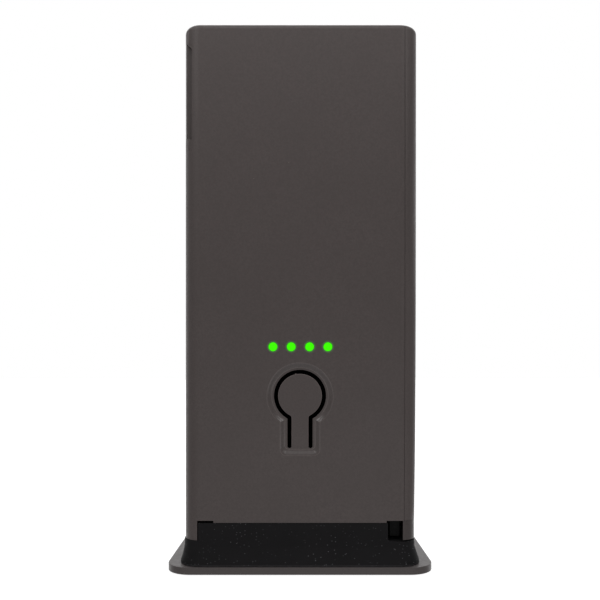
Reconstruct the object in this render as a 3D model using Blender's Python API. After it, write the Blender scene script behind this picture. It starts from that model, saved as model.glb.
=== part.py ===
"""A tower-shaped power bank that stands in a rubber-booted foot. Metres, +Z up.

The front faces -Y, and the origin is the middle of the rest face under the foot.
"""

import math

import bmesh
import bpy
from mathutils import Matrix, Vector

MM = 0.001
GAP = 0.3 * MM  # clearance between neighbouring pieces
SEAT = 0.15 * MM  # the smaller clearance under a component on the board
OVER = 2.0 * MM  # how far a cutter runs past the face that it cuts

# Foot: plate, rest pad, boot and core
PAD_PROUD = 0.2 * MM
PAD_THICK = 0.8 * MM
PAD_HALF = (24.0 * MM, 13.5 * MM)
PLATE_HALF = (29.8 * MM, 18.4 * MM)
PLATE_CORNER = 6.0 * MM
PLATE_THICK = 1.75 * MM
PLATE_CHAMFER = 0.35 * MM
PLATE_TOP = PAD_PROUD + PLATE_THICK
ISLAND_TOP = 3.7 * MM
CORE_HALF = (18.2 * MM, 12.2 * MM)
CORE_TOP = 11.6 * MM
CORE_FLANGE_HALF = (19.9 * MM, 14.2 * MM)
CORE_FLANGE = (7.7 * MM, 8.9 * MM)
CORE_CORNER = 2.0 * MM
BOOT_TOP = 7.4 * MM
BOOT_WIDEST = 2.45 * MM
BOOT_FLARE = 0.95 * MM
BOOT_TOP_PROUD = 0.08 * MM
BOOT_RINGS = 6
TONGUE_X = (-22.55 * MM, 19.5 * MM)
TONGUE_Y = (-17.05 * MM, -15.3 * MM)
TONGUE_TOP = 11.05 * MM
STAND_SCREW_X = 12.0 * MM
STAND_HEAD = (1.4 * MM, 2.15 * MM)
STAND_SHANK = (2.0 * MM, 7.9 * MM)
STAND_HEAD_ROOM = 2.3 * MM

# Tower: shell sizes
TOWER_HALF = (26.0 * MM, 17.0 * MM)
TOWER_CORNER = 3.8 * MM
TOWER_TOP = 122.2 * MM
TOP_FILLET = 1.35 * MM
WALL = 2.0 * MM
LEG_BOTTOM = 7.7 * MM
NOTCH_TOP = 11.8 * MM
NOTCH_HALF = 22.85 * MM
TAB_HALF = 19.2 * MM
TAB_BOTTOM = 11.35 * MM
SEAM_X = 23.4 * MM
SKIRT_INSET = 0.15 * MM
PANEL_BOTTOM = NOTCH_TOP
LIP_X = (22.0 * MM, 24.6 * MM)
LIP_Y = (13.5 * MM, 14.4 * MM)
LIP_Z = (15.6 * MM, 119.7 * MM)
BULKHEAD = (12.2 * MM, 15.0 * MM)
POST_LOW = (20.2 * MM, -14.6 * MM, 7.9 * MM)
POST_HIGH = (22.4 * MM, -12.0 * MM, 13.0 * MM)
CORNER_STEPS = 6

# Button, indicator lights and the switch behind them
BUTTON_Z = 39.5 * MM
BUTTON_RADIUS = 4.9 * MM
STEM_HALF = 1.9 * MM
SLOT = 0.89 * MM
BUTTON_ROOT = 28.05 * MM
DISH_DEPTH = 0.6 * MM
DISH_FLOOR = (6.65 * MM, 3.55 * MM, 27.6 * MM)  # radius, half stem, bottom
DISH_RIM = (7.49 * MM, 4.41 * MM, 26.2 * MM)
FRONT = -TOWER_HALF[1]
INNER_FRONT = FRONT + WALL
BUTTON_FACE = FRONT + DISH_DEPTH
LIGHT_XS = (-6.1 * MM, -2.04 * MM, 2.04 * MM, 6.1 * MM)
LIGHT_Z = 50.4 * MM
LIGHT_RADIUS = 1.0 * MM
SWITCH_FACE = -12.4 * MM
PLUNGER_FACE = -14.15 * MM
PLUNGER_RADIUS = 1.7 * MM

# Circuit board
PCB_X = (-21.4 * MM, 14.0 * MM)
PCB_Y = (-8.9 * MM, -7.7 * MM)
PCB_Z = (18.9 * MM, 118.7 * MM)
PCB_SCREWS = ((0.0, 21.7 * MM), (0.0, 58.2 * MM), (-12.0 * MM, 92.7 * MM), (10.0 * MM, 92.7 * MM))
BULKHEAD_SCREWS = ((-22.2 * MM, -13.2 * MM), (15.4 * MM, -13.2 * MM), (-22.2 * MM, 13.2 * MM))
BOSS_RADIUS = 2.3 * MM
PILOT_RADIUS = 1.1 * MM
SCREW_RADIUS = 0.8 * MM
HEAD_RADIUS = 1.8 * MM

# Port bay in the left wall, with its door
POCKET_FLOOR = -24.2 * MM
POCKET_Z = (96.5 * MM, 116.8 * MM)
POCKET_END = 4.4 * MM
LINER_LOW = (-25.0 * MM, -16.0 * MM, 94.2 * MM)
LINER_HIGH = (-22.4 * MM, 6.5 * MM, 121.0 * MM)
DOOR_AXIS = (-25.0 * MM, 3.0 * MM)
DOOR_BARREL = 1.0 * MM
DOOR_INNER = -24.45 * MM
DOOR_PIN_RADIUS = 0.4 * MM
DOOR_BORE_RADIUS = 0.65 * MM
DOOR_PIN_Z = (95.0 * MM, 118.6 * MM)
DOOR_CLEAR = 0.35 * MM
DOOR_SLOPE_CLEAR = 0.45 * MM
DOOR_FLAT = 1.6 * MM  # how far in front of the pin the door's top stays flat, so that it can turn
HINGE_ROOM = (1.4 * MM, 1.3 * MM)  # in front of the pin, and behind it into the tower
PORT_MOUTH = -23.9 * MM
PORT_Z = 106.3 * MM
USB_C_SIZE = (7.35 * MM, 3.26 * MM, 8.94 * MM)
USB_A_SIZE = (14.0 * MM, 5.72 * MM, 13.1 * MM)
PORT_WALL = 0.35 * MM
USB_C_TONGUE = (0.8 * MM, 0.35 * MM, 3.3 * MM)  # its start inside the mouth, half thickness, half width
USB_A_TONGUE = (1.0 * MM, (-2.1 * MM, -0.3 * MM), 5.6 * MM)

# Cells
CELL_RADIUS = 10.6 * MM
CELL_XS = (-10.75 * MM, 10.75 * MM)
CELL_Y = 3.4 * MM
CELL_Z = (18.0 * MM, 88.0 * MM)
HOLDER_HALF_X = 21.4 * MM
HOLDER_Y = (-5.5 * MM, 10.5 * MM)
HOLDER_FLOOR = 1.9 * MM
HOLDER_DEPTH = 5.2 * MM
STRIP_THICK = 0.2 * MM
STRIP_HALF = (15.0 * MM, 4.0 * MM)
FOAM_LOW = (-18.0 * MM, 14.2 * MM, 30.0 * MM)
FOAM_HIGH = (18.0 * MM, 14.75 * MM, 80.0 * MM)
LEAD_RADIUS = 0.75 * MM
RED_ROUTE = (
    (0.0, -0.8, 92.6),
    (0.0, -1.6, 95.4),
    (2.6, -3.2, 97.6),
    (12.0, -5.0, 97.0),
    (12.0, -6.6, 99.0),
)  # in mm, like the next
BLACK_ROUTE = (
    (0.0, -5.6, 30.0),
    (0.0, -3.6, 32.0),
    (0.3, -3.2, 40.0),
    (0.3, -3.2, 44.0),
)

PLANES = {
    "X": lambda u, v, w: (w, u, v),
    "Y": lambda u, v, w: (u, w, v),
    "Z": lambda u, v, w: (u, v, w),
}


# ---------------------------------------------------------------- outlines

def arc(centre, radius, start, end, steps):
    """Points on an arc, both ends included. Angles are in degrees."""
    points = []
    for i in range(steps + 1):
        angle = math.radians(start + (end - start) * i / steps)
        points.append((centre[0] + radius * math.cos(angle), centre[1] + radius * math.sin(angle)))
    return points


def circle(centre, radius, sides):
    return arc(centre, radius, 0, 360 - 360 / sides, sides - 1)


def rectangle(low, high):
    return [(low[0], low[1]), (high[0], low[1]), (high[0], high[1]), (low[0], high[1])]


def rounded_rectangle(half, radius, steps=CORNER_STEPS, centre=(0.0, 0.0)):
    points = []
    for start, sx, sy in ((0, 1, 1), (90, -1, 1), (180, -1, -1), (270, 1, -1)):
        corner = (centre[0] + sx * (half[0] - radius), centre[1] + sy * (half[1] - radius))
        points += arc(corner, radius, start, start + 90, steps)
    return points


def keyhole(radius, half_stem, bottom, fillet=0.2 * MM, corner=0.4 * MM, steps=24):
    """A disc with a stem that runs down from it to bottom, in the XZ plane."""
    rise = math.sqrt((radius + fillet) ** 2 - (half_stem + fillet) ** 2)
    throat = BUTTON_Z - rise
    turn = math.degrees(math.atan2(rise, half_stem + fillet))
    right = arc((0, BUTTON_Z), radius, -turn, 180 + turn, steps)
    left_fillet = arc((-half_stem - fillet, throat), fillet, turn, 0, 3)[1:]
    right_fillet = arc((half_stem + fillet, throat), fillet, 180, 180 - turn, 3)[:-1]
    foot = arc((-half_stem + corner, bottom + corner), corner, 180, 270, 3)
    foot += arc((half_stem - corner, bottom + corner), corner, 270, 360, 3)
    return right + left_fillet + foot + right_fillet


# ---------------------------------------------------------------- solids

def mesh_object(name, bm):
    bmesh.ops.recalc_face_normals(bm, faces=bm.faces)
    mesh = bpy.data.meshes.new(name)
    bm.to_mesh(mesh)
    bm.free()
    obj = bpy.data.objects.new(name, mesh)
    bpy.context.scene.collection.objects.link(obj)
    return obj


def loft(name, rings):
    """A solid through rings of points that all have the same count, capped at both ends."""
    bm = bmesh.new()
    loops = [[bm.verts.new(point) for point in ring] for ring in rings]
    for lower, upper in zip(loops, loops[1:]):
        for i, vertex in enumerate(lower):
            j = (i + 1) % len(lower)
            bm.faces.new((vertex, lower[j], upper[j], upper[i]))
    bm.faces.new(list(reversed(loops[0])))
    bm.faces.new(loops[-1])
    return mesh_object(name, bm)


def prism(name, outline, start, end, axis="Z"):
    place = PLANES[axis]
    return loft(name, [[place(u, v, w) for u, v in outline] for w in (start, end)])


def box(name, low, high):
    return prism(name, rectangle(low[:2], high[:2]), low[2], high[2])


def rod(name, centre, radius, start, end, axis="Z", sides=16):
    return prism(name, circle(centre, radius, sides), start, end, axis)


def helper(obj):
    """Marks a cutter or a body that is joined to another, so that it isn't a part itself."""
    obj.hide_render = True
    obj.display_type = "WIRE"
    return obj


def combine(obj, operation, tools):
    for tool in tools:
        modifier = obj.modifiers.new(tool.name, "BOOLEAN")
        modifier.operation = operation
        modifier.solver = "EXACT"
        modifier.object = helper(tool)
    return obj


def cut(obj, *tools):
    return combine(obj, "DIFFERENCE", tools)


def join(obj, *tools):
    return combine(obj, "UNION", tools)


def material(name, colour, roughness, metallic=0.0, emission=0.0):
    made = bpy.data.materials.new(name)
    made.use_nodes = True
    shader = made.node_tree.nodes["Principled BSDF"]
    shader.inputs["Base Color"].default_value = (*colour, 1.0)
    shader.inputs["Roughness"].default_value = roughness
    shader.inputs["Metallic"].default_value = metallic
    shader.inputs["Emission Color"].default_value = (*colour, 1.0)
    shader.inputs["Emission Strength"].default_value = emission
    return made


def finish(obj, surface, parent, origin=None):
    """Gives a piece its material, its origin and its parent, and shades its round faces smooth."""
    corners = [Vector(corner) for corner in obj.bound_box]
    middle = sum(corners, Vector()) / len(corners)
    origin = Vector(origin) if origin else middle
    obj.data.transform(Matrix.Translation(-origin))
    obj.location = origin - parent.location
    obj.parent = parent
    obj.data.materials.append(surface)
    if obj.type == "MESH":
        obj.data.shade_smooth()
        obj.data.set_sharp_from_angle(angle=math.radians(30))
    return obj


def body(name, location=(0.0, 0.0, 0.0), parent=None):
    empty = bpy.data.objects.new(name, None)
    bpy.context.scene.collection.objects.link(empty)
    empty.parent = parent
    empty.location = location
    return empty


# ---------------------------------------------------------------- foot

def make_foot_plate():
    thin = (PLATE_HALF[0] - PLATE_CHAMFER, PLATE_HALF[1] - PLATE_CHAMFER)
    edge = rounded_rectangle(PLATE_HALF, PLATE_CORNER)
    lower = rounded_rectangle(thin, PLATE_CORNER - PLATE_CHAMFER)
    rings = []
    for outline, z in ((lower, PAD_PROUD), (edge, PAD_PROUD + PLATE_CHAMFER), (edge, PLATE_TOP)):
        rings.append([(x, y, z) for x, y in outline])
    plate = loft("foot_plate", rings)
    island_low = PLATE_TOP - OVER / 2
    join(plate, prism("island_join", rounded_rectangle(CORE_HALF, CORE_CORNER), island_low, ISLAND_TOP))
    room = (PAD_HALF[0] + GAP, PAD_HALF[1] + GAP)
    pad_room = prism("pad_room_cut", rounded_rectangle(room, PLATE_CORNER), -OVER, PAD_THICK + GAP)
    cut(plate, pad_room)
    for i, side in enumerate((-1, 1)):
        centre = (side * STAND_SCREW_X, 0.0)
        head = rod(f"plate_head_cut_{i}", centre, HEAD_RADIUS + 2 * GAP, -OVER, STAND_HEAD_ROOM)
        shank = rod(f"plate_shank_cut_{i}", centre, PILOT_RADIUS + GAP, -OVER, ISLAND_TOP + OVER)
        cut(plate, head, shank)
    return plate


def make_foot_pad():
    return prism("foot_pad", rounded_rectangle(PAD_HALF, PLATE_CORNER - GAP), 0.0, PAD_THICK)


def make_boot():
    rings = []
    base = PLATE_TOP + 0.15 * MM
    levels = [(base, BOOT_FLARE - 0.15 * MM)]
    for i in range(BOOT_RINGS):
        share = i / (BOOT_RINGS - 1)
        proud = BOOT_TOP_PROUD + (BOOT_FLARE - BOOT_TOP_PROUD) * (1 - share) ** 2
        levels.append((BOOT_WIDEST + (BOOT_TOP - BOOT_WIDEST) * share, proud))
    for z, proud in levels:
        half = (TOWER_HALF[0] + proud, TOWER_HALF[1] + proud)
        rings.append([(x, y, z) for x, y in rounded_rectangle(half, TOWER_CORNER + proud)])
    boot = loft("rubber_boot", rings)
    tongue_low = (TONGUE_X[0], TONGUE_Y[0], BOOT_TOP - 2 * MM)
    tongue_high = (TONGUE_X[1], TONGUE_Y[1], TONGUE_TOP)
    join(boot, box("tongue_join", tongue_low, tongue_high))
    opening = (CORE_HALF[0] + GAP, CORE_HALF[1] + GAP)
    cut(boot, prism("core_room_cut", rounded_rectangle(opening, CORE_CORNER + GAP), 0.0, TOWER_TOP))
    return boot


def make_seat_core():
    core = prism("seat_core", rounded_rectangle(CORE_HALF, CORE_CORNER), ISLAND_TOP + GAP, CORE_TOP)
    join(core, prism("flange_join", rounded_rectangle(CORE_FLANGE_HALF, CORE_CORNER), *CORE_FLANGE))
    for i, side in enumerate((-1, 1)):
        hole = rod(f"core_hole_cut_{i}", (side * STAND_SCREW_X, 0.0), PILOT_RADIUS, 0.0, CORE_FLANGE[1])
        cut(core, hole)
    return core


def make_screw(name, centre, head, shank, axis="Z"):
    """A pan-head screw. head is where its head starts and ends along axis, and shank its shaft."""
    screw = rod(name, centre, HEAD_RADIUS, *head, axis=axis, sides=12)
    return join(screw, rod(name + "_shank", centre, SCREW_RADIUS, *shank, axis=axis, sides=10))


# ---------------------------------------------------------------- shell

def tower_solid(name, inset=0.0, low=LEG_BOTTOM, top=TOWER_TOP):
    """The outer form of the tower, with its rounded top edge."""
    rings = [(low, 0.0)]
    steps = 3
    for i in range(steps + 1):
        angle = math.radians(90 * i / steps)
        rise = TOP_FILLET * math.sin(angle)
        rings.append((top - TOP_FILLET + rise, TOP_FILLET * (1 - math.cos(angle))))
    made = []
    for z, drawn_in in rings:
        half = (TOWER_HALF[0] - inset - drawn_in, TOWER_HALF[1] - inset - drawn_in)
        outline = rounded_rectangle(half, TOWER_CORNER - inset - drawn_in)
        made.append([(x, y, z) for x, y in outline])
    return loft(name, made)


def tower_hollow(name):
    half = (TOWER_HALF[0] - WALL, TOWER_HALF[1] - WALL)
    return prism(name, rounded_rectangle(half, TOWER_CORNER - WALL), 0.0, TOWER_TOP - WALL)


def everything_right_of(name, x, low=-OVER, high=TOWER_TOP + OVER):
    return box(name, (x, -2 * PLATE_HALF[1], low), (2 * PLATE_HALF[0], 2 * PLATE_HALF[1], high))


def everything_left_of(name, x):
    low = (-2 * PLATE_HALF[0], -2 * PLATE_HALF[1], -OVER)
    return box(name, low, (x, 2 * PLATE_HALF[1], 2 * TOWER_TOP))


def front_notch():
    """The opening under the front wall, whose middle hangs lower as a tab."""
    half = [(TAB_HALF, TAB_BOTTOM), (TAB_HALF, NOTCH_TOP), (NOTCH_HALF, NOTCH_TOP), (NOTCH_HALF, 0.0)]
    outline = half + [(-x, z) for x, z in reversed(half)]
    return prism("front_notch_cut", outline, FRONT - OVER, INNER_FRONT + MM, "Y")


def button_opening():
    rim = keyhole(*DISH_RIM, corner=1.0 * MM)
    floor = keyhole(*DISH_FLOOR, corner=0.6 * MM)
    rings = []
    for outline, y in ((rim, FRONT - OVER), (rim, FRONT), (floor, BUTTON_FACE)):
        rings.append([(x, y, z) for x, z in outline])
    dish = loft("dish_cut", rings)
    hole = keyhole(BUTTON_RADIUS + SLOT, STEM_HALF + SLOT, BUTTON_ROOT - GAP)
    return dish, prism("button_hole_cut", hole, FRONT - OVER, INNER_FRONT + OVER, "Y")


def pocket_cuts():
    """The door's pocket, its hinge recess, the pin's hole and the two port windows."""
    outer = -TOWER_HALF[0] - OVER
    slope_top = POCKET_Z[1] + POCKET_FLOOR - outer
    outline = [(POCKET_FLOOR, POCKET_Z[0]), (POCKET_FLOOR, POCKET_Z[1])]
    outline += [(outer, slope_top), (outer, POCKET_Z[0])]
    pocket = prism("pocket_cut", outline, FRONT - OVER, POCKET_END, "Y")
    recess_low = (DOOR_AXIS[0], DOOR_AXIS[1] - HINGE_ROOM[0], POCKET_Z[0])
    recess_high = (DOOR_AXIS[0] + HINGE_ROOM[1], POCKET_END, POCKET_Z[1])
    recess = box("hinge_recess_cut", recess_low, recess_high)
    pin_low, pin_high = DOOR_PIN_Z
    pin = rod("pin_hole_cut", DOOR_AXIS, DOOR_PIN_RADIUS + GAP, pin_low - GAP, pin_high + GAP, sides=12)
    windows = []
    for name, size, y in (("usb_c", USB_C_SIZE, usb_c_middle()), ("usb_a", USB_A_SIZE, usb_a_middle())):
        low = (POCKET_FLOOR - MM, y - size[1] / 2 - GAP, PORT_Z - size[2] / 2 - GAP)
        high = (LINER_HIGH[0] + MM, y + size[1] / 2 + GAP, PORT_Z + size[2] / 2 + GAP)
        windows.append(box(name + "_window_cut", low, high))
    return [pocket, recess, pin] + windows


def usb_c_middle():
    return PCB_Y[0] - SEAT - USB_C_SIZE[1] / 2


def usb_a_middle():
    return PCB_Y[1] + SEAT + USB_A_SIZE[1] / 2


def make_main_housing():
    housing = tower_solid("main_housing")
    cut(housing, tower_hollow("housing_hollow_cut"))
    cut(housing, everything_right_of("seam_cut", SEAM_X - GAP / 2))
    cut(housing, everything_right_of("right_leg_cut", NOTCH_HALF - GAP, high=NOTCH_TOP))
    cut(housing, front_notch())
    join(housing, box("port_liner_join", LINER_LOW, LINER_HIGH))
    for i, (x, z) in enumerate(PCB_SCREWS):
        join(housing, rod(f"pcb_boss_{i}", (x, z), BOSS_RADIUS, FRONT + MM, PCB_Y[0] - GAP, "Y", 12))
    floor = BULKHEAD[1] + GAP
    for i, centre in enumerate(BULKHEAD_SCREWS):
        join(housing, rod(f"floor_boss_{i}", centre, BOSS_RADIUS, floor, BULKHEAD[1] + 7 * MM, sides=12))
    cut(housing, *pocket_cuts())
    cut(housing, *button_opening())
    radius = LIGHT_RADIUS + GAP / 2
    through = (FRONT - OVER, INNER_FRONT + OVER)
    for i, x in enumerate(LIGHT_XS):
        cut(housing, rod(f"light_hole_{i}", (x, LIGHT_Z), radius, *through, axis="Y"))
    for i, (x, z) in enumerate(PCB_SCREWS):
        cut(housing, rod(f"pcb_pilot_{i}", (x, z), PILOT_RADIUS, INNER_FRONT, PCB_Y[1], "Y", 10))
    pilot = (BULKHEAD[0], BULKHEAD[1] + 5.5 * MM)
    for i, centre in enumerate(BULKHEAD_SCREWS):
        cut(housing, rod(f"floor_pilot_{i}", centre, PILOT_RADIUS, *pilot, sides=10))
    return housing


def make_side_panel():
    panel = tower_solid("side_panel", low=PANEL_BOTTOM)
    cut(panel, tower_hollow("panel_hollow_cut"))
    cut(panel, everything_left_of("panel_seam_cut", SEAM_X + GAP / 2))
    outer_low = (LIP_X[0], -LIP_Y[1], LIP_Z[0])
    outer_high = (LIP_X[1], LIP_Y[1], LIP_Z[1])
    lip = box("lip_join", outer_low, outer_high)
    inner_low = (LIP_X[0] - OVER, -LIP_Y[0], LIP_Z[0] - OVER)
    inner_high = (TOWER_HALF[0] - WALL, LIP_Y[0], LIP_Z[1] - (LIP_Y[1] - LIP_Y[0]))
    join(panel, lip)
    cut(panel, box("lip_room_cut", inner_low, inner_high))
    return panel


def make_side_skirt():
    skirt = tower_solid("side_skirt", inset=SKIRT_INSET, top=NOTCH_TOP - GAP + TOP_FILLET)
    cut(skirt, tower_hollow("skirt_hollow_cut"))
    cut(skirt, everything_left_of("skirt_left_cut", NOTCH_HALF))
    high = NOTCH_TOP + 2 * TOP_FILLET
    cut(skirt, everything_right_of("skirt_top_cut", 0.0, low=NOTCH_TOP - GAP, high=high))
    return skirt


def make_bulkhead():
    half = (TOWER_HALF[0] - WALL - GAP, TOWER_HALF[1] - WALL - GAP)
    bulkhead = prism("bottom_bulkhead", rounded_rectangle(half, TOWER_CORNER - WALL), *BULKHEAD)
    join(bulkhead, box("post_join", POST_LOW, POST_HIGH))
    for i, centre in enumerate(BULKHEAD_SCREWS):
        head_room = rod(f"floor_head_cut_{i}", centre, HEAD_RADIUS + GAP, 0.0, BULKHEAD[0] + 1.6 * MM)
        shank_room = rod(f"floor_shank_cut_{i}", centre, PILOT_RADIUS, 0.0, BULKHEAD[1] + OVER, sides=12)
        cut(bulkhead, head_room, shank_room)
    return bulkhead


# ---------------------------------------------------------------- button and lights

def make_button():
    outline = keyhole(BUTTON_RADIUS, STEM_HALF, BUTTON_ROOT, fillet=0.66 * MM, corner=0.1 * MM)
    button = prism("button", outline, BUTTON_FACE, INNER_FRONT - 0.1 * MM, "Y")
    boss = rod("button_boss_join", (0.0, BUTTON_Z), 2.0 * MM, INNER_FRONT - MM, PLUNGER_FACE - GAP, "Y")
    return join(button, boss)


def make_plunger():
    end = SWITCH_FACE - 0.5 * MM
    return rod("switch_plunger", (0.0, BUTTON_Z), PLUNGER_RADIUS, PLUNGER_FACE, end, "Y")


def make_tact_switch():
    half = 3.0 * MM
    low = (-half, SWITCH_FACE, BUTTON_Z - half)
    high = (half, PCB_Y[0] - SEAT, BUTTON_Z + half)
    return box("tact_switch", low, high)


def make_light_pipe(index, x):
    pipe = rod(f"light_pipe_{index}", (x, LIGHT_Z), LIGHT_RADIUS, FRONT + 0.05 * MM, -10.2 * MM, "Y")
    flange = (INNER_FRONT + GAP, INNER_FRONT + 1.1 * MM)
    return join(pipe, rod(f"pipe_flange_{index}", (x, LIGHT_Z), 1.5 * MM, *flange, axis="Y"))


def make_led(index, x):
    half = (0.8 * MM, 0.4 * MM)
    low = (x - half[0], PCB_Y[0] - SEAT - 0.7 * MM, LIGHT_Z - half[1])
    high = (x + half[0], PCB_Y[0] - SEAT, LIGHT_Z + half[1])
    return box(f"led_{index}", low, high)


def make_baffle():
    low = (LIGHT_XS[0] - 2.2 * MM, INNER_FRONT + 1.4 * MM, LIGHT_Z - 2.4 * MM)
    high = (LIGHT_XS[-1] + 2.2 * MM, PCB_Y[0] - GAP, LIGHT_Z + 2.4 * MM)
    baffle = box("light_baffle", low, high)
    for i, x in enumerate(LIGHT_XS):
        cut(baffle, rod(f"baffle_hole_{i}", (x, LIGHT_Z), LIGHT_RADIUS + GAP, FRONT, PCB_Y[1], "Y"))
    return baffle


# ---------------------------------------------------------------- board and its components

def make_pcb():
    pcb = box("main_pcb", (PCB_X[0], PCB_Y[0], PCB_Z[0]), (PCB_X[1], PCB_Y[1], PCB_Z[1]))
    through = (PCB_Y[0] - OVER, PCB_Y[1] + OVER)
    for i, (x, z) in enumerate(PCB_SCREWS):
        cut(pcb, rod(f"pcb_hole_cut_{i}", (x, z), PILOT_RADIUS, *through, axis="Y", sides=12))
    return pcb


def make_usb_c():
    """A 24-pin receptacle: a shell that is open to the left, with its tongue."""
    y = usb_c_middle()
    half = (USB_C_SIZE[1] / 2, USB_C_SIZE[2] / 2)
    corner = 1.2 * MM
    room = (half[0] - PORT_WALL, half[1] - PORT_WALL)
    outer = rounded_rectangle(half, corner, 4, (y, PORT_Z))
    inner = rounded_rectangle(room, corner - PORT_WALL, 4, (y, PORT_Z))
    back = PORT_MOUTH + USB_C_SIZE[0]
    shell = prism("usb_c_port", outer, PORT_MOUTH, back, "X")
    cut(shell, prism("usb_c_room_cut", inner, PORT_MOUTH - OVER, back - MM, "X"))
    start, thick, wide = USB_C_TONGUE
    tongue_low = (PORT_MOUTH + start, y - thick, PORT_Z - wide)
    tongue_high = (back - MM / 2, y + thick, PORT_Z + wide)
    return join(shell, box("usb_c_tongue_join", tongue_low, tongue_high))


def make_usb_a():
    """A type A receptacle: a square shell that is open to the left, with its contact tongue."""
    y = usb_a_middle()
    half = (USB_A_SIZE[1] / 2, USB_A_SIZE[2] / 2)
    room = (half[0] - PORT_WALL, half[1] - PORT_WALL)
    back = PORT_MOUTH + USB_A_SIZE[0]
    shell_low = (PORT_MOUTH, y - half[0], PORT_Z - half[1])
    shell = box("usb_a_port", shell_low, (back, y + half[0], PORT_Z + half[1]))
    room_low = (PORT_MOUTH - OVER, y - room[0], PORT_Z - room[1])
    cut(shell, box("usb_a_room_cut", room_low, (back - MM, y + room[0], PORT_Z + room[1])))
    start, thick, wide = USB_A_TONGUE
    tongue_low = (PORT_MOUTH + start, y + thick[0], PORT_Z - wide)
    tongue_high = (back - MM / 2, y + thick[1], PORT_Z + wide)
    return join(shell, box("usb_a_tongue_join", tongue_low, tongue_high))


def make_board_block(name, centre, size):
    """A component on the front of the board, at centre (x, z)."""
    y = PCB_Y[0] - SEAT
    low = (centre[0] - size[0] / 2, y - size[1], centre[1] - size[2] / 2)
    high = (centre[0] + size[0] / 2, y, centre[1] + size[2] / 2)
    return box(name, low, high)


def make_capacitor(index, x):
    start = PCB_Y[1] + SEAT
    return rod(f"capacitor_{index}", (x, 104.0 * MM), 3.15 * MM, start, start + 7.7 * MM, "Y")


# ---------------------------------------------------------------- cells

def make_cell(index, x):
    """A 21700 cell: a can with a stepped top contact."""
    low, high = CELL_Z
    cell = rod(f"cell_{index}", (x, CELL_Y), CELL_RADIUS, low, high - 0.6 * MM, sides=28)
    return join(cell, rod(f"cell_cap_{index}", (x, CELL_Y), 4.0 * MM, high - MM, high, sides=16))


def make_holder(name, low, seats):
    """A tray that starts at low, with a round seat for each cell between these two heights."""
    high = (HOLDER_HALF_X, HOLDER_Y[1], low + HOLDER_DEPTH)
    holder = box(name, (-HOLDER_HALF_X, HOLDER_Y[0], low), high)
    for i, x in enumerate(CELL_XS):
        cut(holder, rod(f"{name}_seat_{i}", (x, CELL_Y), CELL_RADIUS + GAP, *seats, sides=28))
    slot = (STRIP_HALF[0] + GAP, STRIP_HALF[1] + GAP)
    slot_low = (-slot[0], CELL_Y - slot[1], seats[0])
    slot_high = (slot[0], CELL_Y + slot[1], seats[1])
    return cut(holder, box(f"{name}_strip_slot", slot_low, slot_high))


def make_strip(name, z):
    low = (-STRIP_HALF[0], CELL_Y - STRIP_HALF[1], z)
    high = (STRIP_HALF[0], CELL_Y + STRIP_HALF[1], z + STRIP_THICK)
    return box(name, low, high)


def make_lead(name, points):
    """An insulated wire along a smooth curve through points in mm."""
    curve = bpy.data.curves.new(name, "CURVE")
    curve.dimensions = "3D"
    curve.bevel_depth = LEAD_RADIUS
    curve.bevel_resolution = 1
    curve.use_fill_caps = True
    spline = curve.splines.new("NURBS")
    spline.points.add(len(points) - 1)
    spline.order_u = 4
    spline.use_endpoint_u = True
    spline.resolution_u = 3
    for point, (x, y, z) in zip(spline.points, points):
        point.co = (x * MM, y * MM, z * MM, 1.0)
    lead = bpy.data.objects.new(name, curve)
    bpy.context.scene.collection.objects.link(lead)
    return lead


# ---------------------------------------------------------------- port door

def door_outline():
    """The door in plan: hinge barrel, flat outer face, and the tower's rounded corner at its front."""
    corner = (-TOWER_HALF[0] + TOWER_CORNER, -TOWER_HALF[1] + TOWER_CORNER)
    end = math.degrees(math.acos((corner[0] - DOOR_INNER) / TOWER_CORNER))
    reach = math.degrees(math.acos((DOOR_INNER - DOOR_AXIS[0]) / DOOR_BARREL))
    points = arc(corner, TOWER_CORNER, 180 + end, 180, CORNER_STEPS)
    points += arc(DOOR_AXIS, DOOR_BARREL, 180, -reach, 14)
    return points


def make_door():
    """The door, whose top slopes like its pocket's except round the hinge."""
    top = POCKET_Z[1] - DOOR_SLOPE_CLEAR
    bottom_ring = [(x, y, POCKET_Z[0] + DOOR_CLEAR) for x, y in door_outline()]
    top_ring = [(x, y, top + POCKET_FLOOR - x) for x, y in door_outline()]
    door = loft("port_door", [bottom_ring, top_ring])
    bore = rod("door_bore_cut", DOOR_AXIS, DOOR_BORE_RADIUS, POCKET_Z[0] - OVER, TOWER_TOP, sides=12)
    flat_low = (-TOWER_HALF[0] - OVER, DOOR_AXIS[1] - DOOR_FLAT, POCKET_Z[1] - DOOR_CLEAR)
    flat = box("hinge_top_cut", flat_low, (DOOR_INNER + OVER, POCKET_END + OVER, TOWER_TOP))
    return cut(door, bore, flat)


def make_door_pin():
    return rod("door_pin", DOOR_AXIS, DOOR_PIN_RADIUS, *DOOR_PIN_Z, sides=12)


# ---------------------------------------------------------------- assembly

def build_foot(stand, looks):
    finish(make_foot_plate(), looks["shell"], stand)
    finish(make_foot_pad(), looks["rubber"], stand)
    finish(make_boot(), looks["rubber"], stand)
    finish(make_seat_core(), looks["black"], stand)
    for i, side in enumerate((-1, 1), 1):
        centre = (side * STAND_SCREW_X, 0.0)
        screw = make_screw(f"stand_screw_{i}", centre, STAND_HEAD, STAND_SHANK)
        finish(screw, looks["steel"], stand)


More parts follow.
